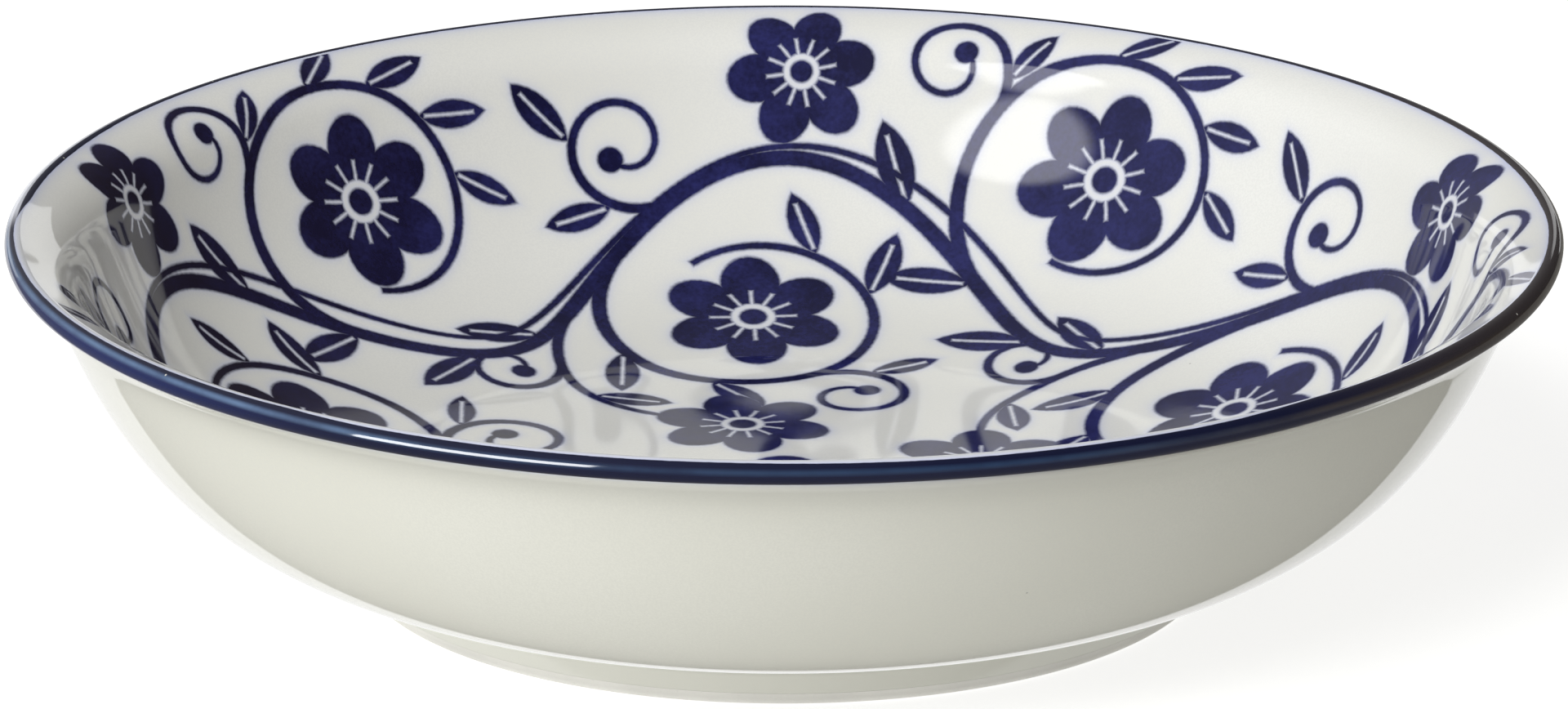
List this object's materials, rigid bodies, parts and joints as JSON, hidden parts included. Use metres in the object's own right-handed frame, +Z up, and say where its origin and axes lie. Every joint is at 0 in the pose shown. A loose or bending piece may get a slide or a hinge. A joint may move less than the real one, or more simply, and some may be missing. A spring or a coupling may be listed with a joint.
{
  "type": "bowl",
  "caption": "Shallow round porcelain serving bowl with a turned-out lip, blue painted rim band, glazed inside with blue floral scrolls, and a low foot ring.",
  "frame": {"origin": "middle of the circle that the foot ring stands on, in the plane of its standing edge", "axes": "+Z up along the axis that the bowl is turned about, out of its mouth; -Y towards the side that the picture shows"},
  "size_m": [0.21, 0.21, 0.049],
  "materials": {
    "biscuit_clay": "bare fired clay, fine and matt",
    "white_glaze": "glossy cream-white glaze",
    "printed_glaze": "glossy clear glaze over white with a cobalt blue floral scroll print",
    "blue_band": "glossy dark cobalt blue painted band under glaze"
  },
  "bodies": {
    "root": {"bowl_body": "biscuit_clay", "foot_ring": "biscuit_clay", "outside_glaze": "white_glaze", "rim_band": "blue_band", "inside_glaze": "printed_glaze", "foot_glaze": "white_glaze", "base_glaze": "white_glaze"}
  },
  "joints": []
}
